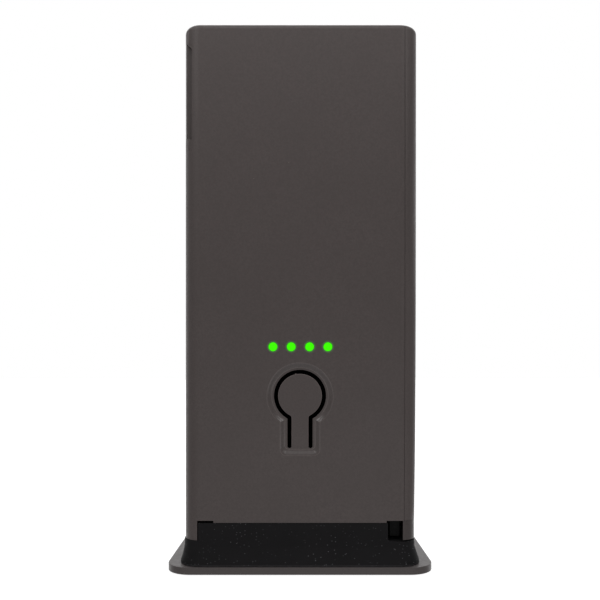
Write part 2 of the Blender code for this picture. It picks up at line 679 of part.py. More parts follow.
def build_shell(tower, looks):
    finish(make_main_housing(), looks["shell"], tower)
    finish(make_side_panel(), looks["shell"], tower)
    finish(make_side_skirt(), looks["shell"], tower)
    finish(make_bulkhead(), looks["black"], tower)
    for i, centre in enumerate(BULKHEAD_SCREWS, 1):
        head = (BULKHEAD[0] + GAP, BULKHEAD[0] + GAP + MM)
        shank = (BULKHEAD[0] + MM, BULKHEAD[1] + 5 * MM)
        finish(make_screw(f"bulkhead_screw_{i}", centre, head, shank), looks["steel"], tower)
    finish(make_door_pin(), looks["steel"], tower)


def build_board(tower, looks):
    finish(make_pcb(), looks["board"], tower)
    for i, centre in enumerate(PCB_SCREWS, 1):
        head = (PCB_Y[1] + GAP / 2, PCB_Y[1] + GAP / 2 + 1.1 * MM)
        shank = (INNER_FRONT + 1.5 * MM, PCB_Y[1] + MM)
        finish(make_screw(f"pcb_screw_{i}", centre, head, shank, "Y"), looks["steel"], tower)
    for i, x in enumerate(LIGHT_XS, 1):
        finish(make_led(i, x), looks["lens"], tower)
        finish(make_light_pipe(i, x), looks["glow"], tower)
    finish(make_baffle(), looks["black"], tower)
    finish(make_tact_switch(), looks["black"], tower)
    finish(make_usb_c(), looks["steel"], tower)
    finish(make_usb_a(), looks["steel"], tower)
    inductor = make_board_block("power_inductor", (4.0 * MM, 72.0 * MM), (7.2 * MM, 4.2 * MM, 7.2 * MM))
    finish(inductor, looks["black"], tower)
    charger = make_board_block("charger_chip", (-8.0 * MM, 72.0 * MM), (5.0 * MM, 0.9 * MM, 5.0 * MM))
    finish(charger, looks["black"], tower)
    gauge = make_board_block("protection_chip", (-8.0 * MM, 36.0 * MM), (3.0 * MM, 0.9 * MM, 4.4 * MM))
    finish(gauge, looks["black"], tower)
    for i, x in enumerate((-1.0 * MM, 6.5 * MM), 1):
        finish(make_capacitor(i, x), looks["aluminium"], tower)


def build_cells(tower, looks):
    low, high = CELL_Z
    for i, x in enumerate(CELL_XS, 1):
        finish(make_cell(i, x), looks["sleeve"], tower)
    end_room = 0.8 * MM
    seat = low - end_room
    bottom = make_holder("cell_holder_bottom", seat - HOLDER_FLOOR, (seat, seat + HOLDER_DEPTH))
    finish(bottom, looks["black"], tower)
    seat = high + end_room
    top = make_holder("cell_holder_top", seat + HOLDER_FLOOR - HOLDER_DEPTH, (seat - HOLDER_DEPTH, seat))
    finish(top, looks["black"], tower)
    finish(make_strip("nickel_strip_bottom", low - 0.5 * MM), looks["nickel"], tower)
    finish(make_strip("nickel_strip_top", high + 0.3 * MM), looks["nickel"], tower)
    finish(box("foam_pad", FOAM_LOW, FOAM_HIGH), looks["foam"], tower)
    bead = rod("thermistor", (0.0, -2.5 * MM), 0.9 * MM, 50.0 * MM, 54.0 * MM, sides=12)
    finish(bead, looks["black"], tower)


def build_leads(tower, looks):
    finish(make_lead("positive_lead", RED_ROUTE), looks["red"], tower)
    finish(make_lead("negative_lead", BLACK_ROUTE), looks["black"], tower)


def build_moving(tower, looks):
    root = (0.0, (BUTTON_FACE + INNER_FRONT) / 2, BUTTON_ROOT)
    button = body("button_axis", root, tower)
    finish_moving(make_button(), looks["shell"], button, root)
    plunger_place = (0.0, PLUNGER_FACE, BUTTON_Z)
    plunger = body("plunger_axis", plunger_place, tower)
    finish_moving(make_plunger(), looks["black"], plunger, plunger_place)
    door_place = (*DOOR_AXIS, (POCKET_Z[0] + POCKET_Z[1]) / 2)
    door = body("door_axis", door_place, tower)
    finish_moving(make_door(), looks["shell"], door, door_place)


def finish_moving(obj, surface, axis, place):
    finish(obj, surface, axis, place)
    obj.location = (0.0, 0.0, 0.0)


def all_materials():
    return {
        "shell": material("satin_shell_plastic", (0.066, 0.058, 0.056), 0.5),
        "rubber": material("black_rubber", (0.010, 0.009, 0.010), 0.8),
        "black": material("black_plastic", (0.012, 0.012, 0.012), 0.55),
        "steel": material("plated_steel", (0.60, 0.60, 0.61), 0.3, 1.0),
        "aluminium": material("aluminium_can", (0.75, 0.76, 0.78), 0.35, 1.0),
        "nickel": material("nickel", (0.62, 0.60, 0.56), 0.3, 1.0),
        "board": material("green_board", (0.01, 0.09, 0.03), 0.45),
        "lens": material("led_package", (0.85, 0.85, 0.75), 0.3),
        "glow": material("lit_green_lens", (0.06, 1.0, 0.01), 0.3, emission=1.0),
        "sleeve": material("cell_sleeve", (0.02, 0.11, 0.32), 0.4),
        "foam": material("foam", (0.05, 0.05, 0.055), 0.95),
        "red": material("red_insulation", (0.5, 0.02, 0.02), 0.45),
    }


def main():
    for obj in list(bpy.data.objects):
        bpy.data.objects.remove(obj, do_unlink=True)
    looks = all_materials()
    stand = body("stand")
    tower = body("tower")
    build_foot(stand, looks)
    build_shell(tower, looks)
    build_board(tower, looks)
    build_cells(tower, looks)
    build_leads(tower, looks)
    build_moving(tower, looks)


main()
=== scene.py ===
"""The looks of a tower-shaped power bank in a rubber-booted foot, built round its CAD frame.

Metres, +Z up. The front faces -Y. Sizes come from the frame's nodes where it has them.
"""

import math

import bmesh
import bpy
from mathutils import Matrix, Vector


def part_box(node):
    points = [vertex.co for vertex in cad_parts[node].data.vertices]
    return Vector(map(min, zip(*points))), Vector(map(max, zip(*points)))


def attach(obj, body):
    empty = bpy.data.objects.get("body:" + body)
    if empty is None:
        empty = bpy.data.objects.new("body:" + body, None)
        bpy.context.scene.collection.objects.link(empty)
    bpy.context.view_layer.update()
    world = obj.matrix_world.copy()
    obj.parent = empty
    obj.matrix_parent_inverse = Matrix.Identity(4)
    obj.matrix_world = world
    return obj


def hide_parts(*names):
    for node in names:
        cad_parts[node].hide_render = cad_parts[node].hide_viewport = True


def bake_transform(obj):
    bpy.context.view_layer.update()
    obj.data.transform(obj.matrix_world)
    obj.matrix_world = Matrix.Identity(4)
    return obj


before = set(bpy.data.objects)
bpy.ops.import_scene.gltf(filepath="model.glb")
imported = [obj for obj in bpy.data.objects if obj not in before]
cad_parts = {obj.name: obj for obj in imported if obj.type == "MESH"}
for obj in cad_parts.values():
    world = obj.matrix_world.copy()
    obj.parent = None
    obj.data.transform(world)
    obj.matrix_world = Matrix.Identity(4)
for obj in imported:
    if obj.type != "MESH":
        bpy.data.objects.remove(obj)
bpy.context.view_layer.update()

MM = 0.001
OVER = 2.0 * MM  # how far a cutter runs past the face that it cuts


# ---------------------------------------------------------------- sizes from the frame

HOUSING_LOW, HOUSING_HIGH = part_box("main_housing")
PANEL_LOW, PANEL_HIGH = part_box("side_panel")
SKIRT_LOW, SKIRT_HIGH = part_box("side_skirt")
BUTTON_LOW, BUTTON_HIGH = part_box("button")
BOOT_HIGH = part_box("rubber_boot")[1]
PLATE_LOW, PLATE_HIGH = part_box("foot_plate")
PAD_LOW, PAD_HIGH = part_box("foot_pad")
DOOR_LOW, DOOR_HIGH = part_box("port_door")
LIGHTS = [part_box(f"light_pipe_{i}") for i in (1, 2, 3, 4)]

FRONT = HOUSING_LOW.y
HALF_X = PANEL_HIGH.x
HALF_Y = HOUSING_HIGH.y
TOP = HOUSING_HIGH.z
SEAM_LEFT = HOUSING_HIGH.x - 0.1 * MM
SEAM_RIGHT = SEAM_LEFT + 0.05 * MM
CORNER = 3.8 * MM
TOP_FILLET = 1.28 * MM
WALL = 2.0 * MM
INNER_FRONT = FRONT + WALL
LEG_BOTTOM = HOUSING_LOW.z - 0.25 * MM
NOTCH_TOP = PANEL_LOW.z
NOTCH_HALF = SKIRT_LOW.x
TAB_HALF = 19.2 * MM
TAB_BOTTOM = NOTCH_TOP - 0.45 * MM

BUTTON_RADIUS = (BUTTON_HIGH.x - BUTTON_LOW.x) / 2
BUTTON_Z = BUTTON_HIGH.z - BUTTON_RADIUS
BUTTON_FACE = BUTTON_LOW.y
STEM_HALF = 1.9 * MM
SLOT = 0.89 * MM  # the slot's width
ROOT_Z = BUTTON_LOW.z + 0.25 * MM
DISH_RIM = (7.42 * MM, 4.52 * MM, 26.2 * MM)  # radius, half stem, bottom
DISH_FLOOR = (6.25 * MM, 3.3 * MM, 27.65 * MM)
LIGHT_RADIUS = 0.96 * MM

POCKET_FLOOR = -24.2 * MM
POCKET_LOW = DOOR_LOW.z - 0.35 * MM
POCKET_HIGH = POCKET_LOW + 20.3 * MM
POCKET_SLOPES = (0.47, 1.22)  # how its lower and upper ends rise towards the outside
POCKET_END = DOOR_HIGH.y + 0.4 * MM
DOOR_AXIS = (DOOR_LOW.x + 1.0 * MM, DOOR_HIGH.y - 1.0 * MM)
DOOR_BARREL = 1.0 * MM
DOOR_INNER = -24.3 * MM
DOOR_END = FRONT + 1.9 * MM
DOOR_SHIFT = 0.14 * MM  # how far the cover sits inside the tower's side

BOOT_RIM = 7.4 * MM
BOOT_WIDEST = 2.45 * MM
BOOT_FLARE = BOOT_HIGH.x - HALF_X + 0.07 * MM
BOOT_PROUD = 0.08 * MM  # how far the boot's rim and tongue stand out from the tower
TONGUE_X = (-22.6 * MM, 19.5 * MM)
TONGUE_BACK = -15.3 * MM
TONGUE_TOP = TAB_BOTTOM - 0.05 * MM
CREASE_Z = 6.0 * MM  # a fine groove round the boot
PLATE_TOP = 1.8 * MM

SOFT_EDGE = 0.1 * MM  # the moulded edges' rounding
# faces deeper than SKIN inside the tower's outline get the painted shade of the inside
SKIN = 0.72 * MM  # how deep the painted outer surface goes
HALO = 0.55 * MM  # how far a light bleeds into the plastic
LIGHT_SHIFT = 0.09 * MM  # the row of lights sits a little to the right


# ---------------------------------------------------------------- outlines

def arc(centre, radius, start, end, steps):
    """Points on an arc, both ends included. Angles are in degrees."""
    points = []
    for i in range(steps + 1):
        angle = math.radians(start + (end - start) * i / steps)
        points.append((centre[0] + radius * math.cos(angle), centre[1] + radius * math.sin(angle)))
    return points


def circle(centre, radius, sides):
    return arc(centre, radius, 0, 360 - 360 / sides, sides - 1)


def rectangle(low, high):
    return [(low[0], low[1]), (high[0], low[1]), (high[0], high[1]), (low[0], high[1])]


def rounded_rectangle(half, radius, steps=14, centre=(0.0, 0.0)):
    points = []
    for start, sx, sy in ((0, 1, 1), (90, -1, 1), (180, -1, -1), (270, 1, -1)):
        middle = (centre[0] + sx * (half[0] - radius), centre[1] + sy * (half[1] - radius))
        points += arc(middle, radius, start, start + 90, steps)
    return points


def keyhole(radius, half_stem, bottom, fillet=0.2 * MM, corner=0.4 * MM, steps=56):
    """A disc with a stem that runs down from it to bottom, in the XZ plane."""
    rise = math.sqrt((radius + fillet) ** 2 - (half_stem + fillet) ** 2)
    throat = BUTTON_Z - rise
    turn = math.degrees(math.atan2(rise, half_stem + fillet))
    right = arc((0, BUTTON_Z), radius, -turn, 180 + turn, steps)
    left_fillet = arc((-half_stem - fillet, throat), fillet, turn, 0, 5)[1:]
    right_fillet = arc((half_stem + fillet, throat), fillet, 180, 180 - turn, 5)[:-1]
    foot = arc((-half_stem + corner, bottom + corner), corner, 180, 270, 6)
    foot += arc((half_stem - corner, bottom + corner), corner, 270, 360, 6)
    return right + left_fillet + foot + right_fillet


def slot_outline(grow=0.0):
    """The slot round the button and everything inside it. Its two lower ends are round."""
    radius = BUTTON_RADIUS + SLOT + grow
    outer = STEM_HALF + SLOT + grow
    inner = STEM_HALF - grow
    end = (outer - inner) / 2
    full = keyhole(radius, outer, ROOT_Z - end, fillet=0.15 * MM, corner=end)
    above = [p for p in full if p[1] > ROOT_Z + 0.1 * MM]
    split = max(range(len(above)), key=lambda i: math.dist(above[i], above[(i + 1) % len(above)]))
    above = above[split + 1:] + above[:split + 1]
    left_end = arc((-(outer + inner) / 2, ROOT_Z), end, 180, 360, 10)
    right_end = arc(((outer + inner) / 2, ROOT_Z), end, 180, 360, 10)
    return above + left_end + right_end


def light_centre(light):
    middle = (light[0] + light[1]) / 2
    return (middle.x + LIGHT_SHIFT, middle.z)


# EDGE gives the rounded edges a painted highlight, INSIDE gives the shell's inside a painted shade
BODY, EDGE, INSIDE, POLISHED = 0, 1, 2, 3  # material slots on the moulded pieces


# ---------------------------------------------------------------- meshes

def mesh_object(name, bm):
    bmesh.ops.recalc_face_normals(bm, faces=bm.faces)
    mesh = bpy.data.meshes.new(name)
    bm.to_mesh(mesh)
    bm.free()
    obj = bpy.data.objects.new(name, mesh)
    bpy.context.scene.collection.objects.link(obj)
    return obj


def loft(name, rings):
    """A solid through rings of points that all have the same count, capped at both ends."""
    bm = bmesh.new()
    loops = [[bm.verts.new(point) for point in ring] for ring in rings]
    for lower, upper in zip(loops, loops[1:]):
        for i, vertex in enumerate(lower):
            j = (i + 1) % len(lower)
            bm.faces.new((vertex, lower[j], upper[j], upper[i]))
    bm.faces.new(list(reversed(loops[0])))
    bm.faces.new(loops[-1])
    return mesh_object(name, bm)


PLANES = {
    "X": lambda u, v, w: (w, u, v),
    "Y": lambda u, v, w: (u, w, v),
    "Z": lambda u, v, w: (u, v, w),
}


def stack(name, levels, axis="Z"):
    """A solid through (outline, height) levels along an axis."""
    place = PLANES[axis]
    return loft(name, [[place(u, v, w) for u, v in outline] for outline, w in levels])


def prism(name, outline, start, end, axis="Z"):
    return stack(name, [(outline, start), (outline, end)], axis)


def box(name, low, high):
    return prism(name, rectangle(low[:2], high[:2]), low[2], high[2])


def rod(name, centre, radius, start, end, axis="Z", sides=32):
    return prism(name, circle(centre, radius, sides), start, end, axis)


def applied(obj):
    """Replaces the object's mesh by what its modifiers make of it."""
    bpy.context.view_layer.update()
    graph = bpy.context.evaluated_depsgraph_get()
    mesh = bpy.data.meshes.new_from_object(obj.evaluated_get(graph))
    obj.modifiers.clear()
    obj.data = mesh
    return obj


def combine(obj, operation, tools):
    for tool in tools:
        modifier = obj.modifiers.new(tool.name, "BOOLEAN")
        modifier.operation = operation
        modifier.solver = "EXACT"
        modifier.object = tool
    applied(obj)
    for tool in tools:
        bpy.data.objects.remove(tool)
    return obj


def cut(obj, *tools):
    return combine(obj, "DIFFERENCE", tools)


def join(obj, *tools):
    return combine(obj, "UNION", tools)


def soften(obj, width, angle=35):
    """Rounds the sharp edges a little, and keeps flat faces flat in the shading."""
    bm = bmesh.new()
    bm.from_mesh(obj.data)
    bmesh.ops.remove_doubles(bm, verts=bm.verts, dist=0.004 * MM)
    bmesh.ops.dissolve_degenerate(bm, edges=bm.edges, dist=0.002 * MM)
    bm.to_mesh(obj.data)
    bm.free()
    bevel = obj.modifiers.new("soft_edges", "BEVEL")
    bevel.width = width
    bevel.segments = 2
    bevel.limit_method = "ANGLE"
    bevel.angle_limit = math.radians(angle)
    bevel.miter_outer = "MITER_ARC"
    # the bevelled edges take the EDGE slot, which the moulded pieces fill with a painted edge highlight
    bevel.material = EDGE
    for _ in range(POLISHED + 1):
        obj.data.materials.append(None)
    applied(obj)
    return smooth(obj)


def smooth(obj, angle=40):
    obj.data.shade_smooth()
    obj.data.set_sharp_from_angle(angle=math.radians(angle))
    weighted = obj.modifiers.new("flat_faces_stay_flat", "WEIGHTED_NORMAL")
    weighted.keep_sharp = True
    return applied(obj)


def fade(value, start, end):
    """0 before start, 1 after end, and a smooth rise between them."""
    share = min(1.0, max(0.0, (value - start) / (end - start)))
    return share * share * (3 - 2 * share)


def settle(obj):
    """Moves the tower's sides a little in or out: the moulded walls aren't perfectly straight."""
    left_in, right_out, right_tuck = 0.11 * MM, 0.32 * MM, 0.43 * MM
    tuck_from, tuck_height = 13 * MM, 24 * MM
    inner, outer = 21 * MM, 26 * MM
    bm = bmesh.new()
    bm.from_mesh(obj.data)
    for height in [15 * MM, 19 * MM, 24 * MM, 30 * MM, 38 * MM, 48 * MM, 60 * MM, 78 * MM]:
        right = [face for face in bm.faces if face.calc_center_median().x > 15 * MM]
        edges = {edge for face in right for edge in face.edges}
        verts = {vert for face in right for vert in face.verts}
        everything = list(verts) + list(edges) + right
        bmesh.ops.bisect_plane(bm, geom=everything, plane_co=(0, 0, height), plane_no=(0, 0, 1))
    for vert in bm.verts:
        x, z = vert.co.x, vert.co.z
        right = right_out - right_tuck * math.exp(-max(0.0, z - tuck_from) / tuck_height)
        vert.co.x += left_in * fade(-x, inner, outer) + right * fade(x, inner, outer)
    bm.to_mesh(obj.data)
    bm.free()
    return obj


def paint(obj, materials, chooser):
    """Gives each face the material whose index chooser(centre, index now) returns."""
    obj.data.materials.clear()
    for material in materials:
        obj.data.materials.append(material)
    for face in obj.data.polygons:
        face.material_index = chooser(face.center, face.material_index)
    return obj


def dress(obj, material, body, replaced=()):
    """Gives a finished piece its material, its CAD body and the nodes that it stands for."""
    if material:
        obj.data.materials.clear()
        obj.data.materials.append(material)
    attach(obj, body)
    if replaced:
        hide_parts(*replaced)
    return obj


# ---------------------------------------------------------------- node helpers

class Look:
    """A Principled material and the few node shapes that the looks here share."""

    def __init__(self, name, roughness, metallic=0.0, specular=0.5):
        self.material = bpy.data.materials.new(name)
        self.material.use_nodes = True
        self.tree = self.material.node_tree
        self.shader = self.tree.nodes["Principled BSDF"]
        self.shader.inputs["Roughness"].default_value = roughness
        self.shader.inputs["Metallic"].default_value = metallic
        self.shader.inputs["Specular IOR Level"].default_value = specular
        self.place = self.tree.nodes.new("ShaderNodeTexCoord").outputs["Object"]

    def link(self, source, target):
        self.tree.links.new(source, target)

    def stretched(self, scale):
        node = self.tree.nodes.new("ShaderNodeMapping")
        node.inputs["Scale"].default_value = scale
        self.link(self.place, node.inputs["Vector"])
        return node.outputs["Vector"]

    def noise(self, size, detail=2.0, roughness=0.5, vector=None):
        """Noise whose features are about size metres across."""
        node = self.tree.nodes.new("ShaderNodeTexNoise")
        node.inputs["Scale"].default_value = 1.0 / size
        node.inputs["Detail"].default_value = detail
        node.inputs["Roughness"].default_value = roughness
        self.link(vector or self.place, node.inputs["Vector"])
        return node.outputs["Fac"]

    def cells(self, size, output="Distance", vector=None):
        node = self.tree.nodes.new("ShaderNodeTexVoronoi")
        node.inputs["Scale"].default_value = 1.0 / size
        self.link(vector or self.place, node.inputs["Vector"])
        return node.outputs[output]

    def ranged(self, source, from_low, from_high, to_low=0.0, to_high=1.0):
        node = self.tree.nodes.new("ShaderNodeMapRange")
        limits = (from_low, from_high, to_low, to_high)
        for name, value in zip(("From Min", "From Max", "To Min", "To Max"), limits):
            node.inputs[name].default_value = value
        self.link(source, node.inputs["Value"])
        return node.outputs["Result"]

    def maths(self, operation, first, second):
        node = self.tree.nodes.new("ShaderNodeMath")
        node.operation = operation
        for socket, value in zip(node.inputs, (first, second)):
            if isinstance(value, float):
                socket.default_value = value
            else:
                self.link(value, socket)
        return node.outputs["Value"]

    def mixed(self, share, first, second):
        """A colour between two colours, each a triple or a socket."""
        node = self.tree.nodes.new("ShaderNodeMix")
        node.data_type = "RGBA"
        self.link(share, node.inputs[0])
        for index, value in ((6, first), (7, second)):
            if isinstance(value, tuple):
                node.inputs[index].default_value = (*value, 1.0)
            else:
                self.link(value, node.inputs[index])
        return node.outputs[2]

    def colour(self, source):
        self.link(source, self.shader.inputs["Base Color"])

    def roughness(self, source):
        self.link(source, self.shader.inputs["Roughness"])

    def relief(self, heights):
        """Bumps one on the other, each a (height, strength, distance)."""
        normal = None
        for height, strength, distance in heights:
            node = self.tree.nodes.new("ShaderNodeBump")
            node.inputs["Strength"].default_value = strength
            node.inputs["Distance"].default_value = distance
            self.link(height, node.inputs["Height"])
            if normal:
                self.link(normal, node.inputs["Normal"])
            normal = node.outputs["Normal"]
        self.link(normal, self.shader.inputs["Normal"])

    def specks(self, spacing, size, share, vector=None):
        """A mask of small round specks, spacing apart, in this share of the places they could be."""
        near = self.cells(spacing, "Distance", vector)
        chosen = self.cells(spacing, "Color", vector)
        spot = self.ranged(near, size / spacing, 0.5 * size / spacing)
        parts = self.tree.nodes.new("ShaderNodeSeparateColor")
        self.link(chosen, parts.inputs["Color"])
        kept = self.maths("LESS_THAN", parts.outputs["Red"], share)
        return self.maths("MULTIPLY", spot, kept)

    def halo(self, lights):
        """A painted glow: green light bleeding into the plastic round each light pipe, painted as emission.
        """
        total = None
        for low, high in lights:
            node = self.tree.nodes.new("ShaderNodeVectorMath")
            node.operation = "DISTANCE"
            self.link(self.place, node.inputs[0])
            centre = light_centre((low, high))
            node.inputs[1].default_value = (centre[0], FRONT, centre[1])
            near = self.ranged(node.outputs["Value"], LIGHT_RADIUS + HALO, LIGHT_RADIUS)
            share = self.maths("MULTIPLY", self.maths("POWER", near, 2.0), 0.2)
            total = self.maths("ADD", total, share) if total else share
        return total

    def axis(self, name):
        parts = self.tree.nodes.new("ShaderNodeSeparateXYZ")
        self.link(self.place, parts.inputs["Vector"])
        return parts.outputs[name]


def shade(colour, factor):
    return tuple(channel * factor for channel in colour)


# ---------------------------------------------------------------- materials

SHELL_COLOUR = (0.080, 0.0655, 0.0630)
LIT_GREEN = (0.058, 1.0, 0.003)


def shell_plastic(
    name, colour=SHELL_COLOUR, dust=0.10, lights=(), roughness=0.48, specular=0.3, depth=1.0
):
    """Satin moulded plastic: a fine spark-eroded grain, faint mottling and a little dust."""
    look = Look(name, roughness, specular=specular)
    mottle = look.ranged(look.noise(14 * MM, 3.0), 0.3, 0.7)
    grain = look.noise(0.4 * MM, 3.0, 0.7)
    tone = look.mixed(mottle, shade(colour, 0.97), shade(colour, 1.06))
    tone = look.mixed(look.ranged(grain, 0.36, 0.64), shade(colour, 0.86), tone)
    tone = look.mixed(look.specks(2.6 * MM, 0.07 * MM, dust), tone, shade(colour, 3.6))
    look.colour(tone)
    rub = look.noise(0.8 * MM, 2.0)
    swing = 0.05 * depth
    look.roughness(look.ranged(rub, 0.3, 0.7, roughness - swing, roughness + swing))
    pores = look.noise(0.12 * MM, 1.0)
    look.relief([(grain, 0.3 * depth, 0.016 * MM), (pores, 0.2 * depth, 0.006 * MM)])
    if lights:
        look.shader.inputs["Emission Color"].default_value = (*LIT_GREEN, 1.0)
        look.link(look.halo(lights), look.shader.inputs["Emission Strength"])
    return look.material


def black_rubber(name):
    """Matt black elastomer with a pebbled skin, faint marks along the mould, and lint near the foot."""
    look = Look(name, roughness=0.75, specular=0.13)
    colour = (0.0078, 0.0073, 0.0080)
    cloud = look.ranged(look.noise(6 * MM, 4.0, 0.6), 0.3, 0.7)
    tone = look.mixed(cloud, shade(colour, 0.8), shade(colour, 1.35))
    fine = look.noise(0.22 * MM, 2.0, 0.6)
    low_down = look.ranged(look.axis("Z"), 9.0 * MM, 1.9 * MM, 0.5, 1.0)
    patchy = look.ranged(look.noise(9 * MM, 2.0), 0.4, 0.6, 0.3, 1.0)
    lint = look.specks(1.1 * MM, 0.11 * MM, 0.5, look.stretched((1.0, 0.6, 0.7)))
    fluff = look.specks(0.5 * MM, 0.09 * MM, 0.6, look.stretched((0.6, 0.4, 1.0)))
    where = look.maths("MULTIPLY", low_down, patchy)
    marks = look.maths("MULTIPLY", look.maths("MAXIMUM", lint, fluff), where)
    tone = look.mixed(marks, tone, (0.14, 0.14, 0.15))
    # paler towards the foot, unevenly, over the boot's lowest part
    paler_foot = look.ranged(look.axis("Z"), 2.3 * MM, 1.7 * MM)
    uneven = look.ranged(look.noise(0.9 * MM, 3.0), 0.25, 0.65, 0.55, 1.0)
    paler_foot = look.maths("MULTIPLY", paler_foot, uneven)
    tone = look.mixed(paler_foot, tone, (0.075, 0.073, 0.076))
    look.colour(tone)
    look.roughness(look.ranged(cloud, 0.0, 1.0, 0.66, 0.84))
    look.relief([(fine, 0.35, 0.016 * MM)])
    return look.material


def black_plastic(name, brightness=1.0, specular=0.3):
    """Plain black moulded plastic with a faint texture."""
    look = Look(name, roughness=0.5, specular=specular)
    fine = look.noise(0.3 * MM, 3.0)
    cloud = look.ranged(look.noise(8 * MM, 3.0), 0.3, 0.7)
    darkest, lightest = (0.0045, 0.0045, 0.0045), (0.0075, 0.0074, 0.0075)
    look.colour(look.mixed(cloud, shade(darkest, brightness), shade(lightest, brightness)))
    look.roughness(look.ranged(fine, 0.3, 0.7, 0.42, 0.62))
    look.relief([(fine, 0.3, 0.015 * MM)])
    return look.material


def metal(name, colour, roughness=0.3, brush=(1.0, 1.0, 14.0)):
    """Plated or drawn metal with faint brushing and a little staining."""
    look = Look(name, roughness=roughness, metallic=1.0)
    lines = look.noise(0.25 * MM, 2.0, 0.6, look.stretched(brush))
    stain = look.ranged(look.noise(3 * MM, 3.0), 0.35, 0.7)
    look.colour(look.mixed(stain, colour, shade(colour, 0.78)))
    look.roughness(look.ranged(lines, 0.3, 0.7, roughness - 0.08, roughness + 0.12))
    look.relief([(lines, 0.2, 0.01 * MM)])
    return look.material


def lit_lens(name):
    """A green diffuser lit from behind. All its colour is light, a shade paler in places."""
    look = Look(name, roughness=0.4, specular=0.0)
    soft = look.ranged(look.noise(0.5 * MM, 1.0), 0.3, 0.7)
    look.colour(look.mixed(soft, (0.001, 0.004, 0.001), (0.002, 0.006, 0.001)))
    look.link(look.mixed(soft, LIT_GREEN, shade(LIT_GREEN, 0.97)), look.shader.inputs["Emission Color"])
    look.shader.inputs["Emission Strength"].default_value = 1.0
    look.relief([(look.noise(0.2 * MM, 1.0), 0.1, 0.01 * MM)])
    return look.material


def unlit(name):
    """Painted shade for the inside of the shell, where no light reaches: the plastic painted near black,
    with a coarse moulded grain.
    """
    look = Look(name, roughness=0.8, specular=0.05)
    grain = look.ranged(look.noise(0.5 * MM, 3.0), 0.3, 0.7)
    look.colour(look.mixed(grain, (0.0012, 0.0011, 0.0011), (0.002, 0.0018, 0.0018)))
    look.relief([(grain, 0.3, 0.02 * MM)])
    return look.material


def circuit_board(name):
    """Green solder mask over copper pours and traces."""
    look = Look(name, roughness=0.35)
    pour = look.maths("GREATER_THAN", look.noise(5 * MM, 0.0), 0.5)
    tracks = look.cells(2.2 * MM, "Distance", look.stretched((1.0, 0.05, 0.25)))
    lines = look.maths("LESS_THAN", look.maths("FRACT", look.maths("MULTIPLY", tracks, 9.0), 0.0), 0.35)
    tone = look.mixed(pour, (0.0015, 0.009, 0.004), (0.002, 0.014, 0.006))
    tone = look.mixed(lines, tone, (0.003, 0.019, 0.008))
    tone = look.mixed(look.specks(1.8 * MM, 0.3 * MM, 0.3), tone, (0.3, 0.27, 0.19))
    look.colour(tone)
    look.relief([(lines, 0.3, 0.03 * MM)])
    return look.material


def cell_sleeve(name):
    """Heat-shrunk sleeve over a steel can: smooth, with faint pull lines."""
    look = Look(name, roughness=0.32)
    pull = look.noise(1.6 * MM, 3.0, 0.6, look.stretched((1.0, 1.0, 0.12)))
    look.colour(look.mixed(look.ranged(pull, 0.3, 0.7), (0.016, 0.09, 0.27), (0.022, 0.12, 0.34)))
    look.roughness(look.ranged(pull, 0.3, 0.7, 0.24, 0.42))
    look.relief([(pull, 0.3, 0.04 * MM)])
    return look.material


def foam(name):
    look = Look(name, roughness=0.95, specular=0.2)
    pores = look.cells(0.5 * MM)
    look.colour(look.mixed(look.ranged(pores, 0.0, 0.7), (0.02, 0.02, 0.022), (0.065, 0.065, 0.07)))
    look.relief([(pores, 0.6, 0.1 * MM)])
    return look.material


def glossy(name, colour, roughness=0.3):
    """Small cast or extruded parts, such as wire insulation and chip packages."""
    look = Look(name, roughness=roughness)
    fine = look.noise(0.4 * MM, 3.0)
    look.colour(look.mixed(look.ranged(fine, 0.3, 0.7), shade(colour, 0.85), shade(colour, 1.12)))
    look.roughness(look.ranged(fine, 0.3, 0.7, roughness, roughness + 0.15))
    look.relief([(fine, 0.2, 0.02 * MM)])
    return look.material


# ---------------------------------------------------------------- shell pieces

def tower_form(name, inset=0.0, low=LEG_BOTTOM, top=TOP, steps=8):
    """The tower's outer form, with its rounded top edge."""
    levels = [(low, 0.0)]
    for i in range(steps + 1):
        angle = math.radians(90 * i / steps)
        levels.append((top - TOP_FILLET + TOP_FILLET * math.sin(angle), TOP_FILLET * (1 - math.cos(angle))))
    made = []
    for z, drawn_in in levels:
        half = (HALF_X - inset - drawn_in, HALF_Y - inset - drawn_in)
        made.append((rounded_rectangle(half, CORNER - inset - drawn_in), z))
    return stack(name, made)


def tower_hollow(name):
    half = (HALF_X - WALL, HALF_Y - WALL)
    return prism(name, rounded_rectangle(half, CORNER - WALL, 8), 0.0, TOP - WALL)


def all_between(name, low_x, high_x, low_z=-OVER, high_z=2 * TOP):
    return box(name, (low_x, -2 * HALF_Y, low_z), (high_x, 2 * HALF_Y, high_z))


def front_notch():
    half = [(TAB_HALF, TAB_BOTTOM), (TAB_HALF, NOTCH_TOP), (NOTCH_HALF, NOTCH_TOP), (NOTCH_HALF, 0.0)]
    outline = half + [(-x, z) for x, z in reversed(half)]
    return prism("notch_cut", outline, FRONT - OVER, INNER_FRONT + MM, "Y")


def between(first, second, share):
    return [a + (b - a) * share for a, b in zip(first, second)]


def dish_cut():
    """The recess round the button. Its side runs down in a soft S from the rim to the floor."""
    steps = 14
    corner, tighter = 1.5 * MM, 0.7 * MM
    rim = keyhole(*DISH_RIM, fillet=0.12 * MM, corner=corner)
    levels = [(rim, FRONT - OVER), (rim, FRONT - 0.004 * MM)]
    for i in range(1, steps + 1):
        share = i / steps
        radius, half_stem, bottom = between(DISH_RIM, DISH_FLOOR, share)
        depth = (BUTTON_FACE - FRONT) * share * share * (3 - 2 * share)
        outline = keyhole(radius, half_stem, bottom, 0.12 * MM, corner - tighter * share)
        levels.append((outline, FRONT + depth))
    return stack("dish_cut", levels, "Y")


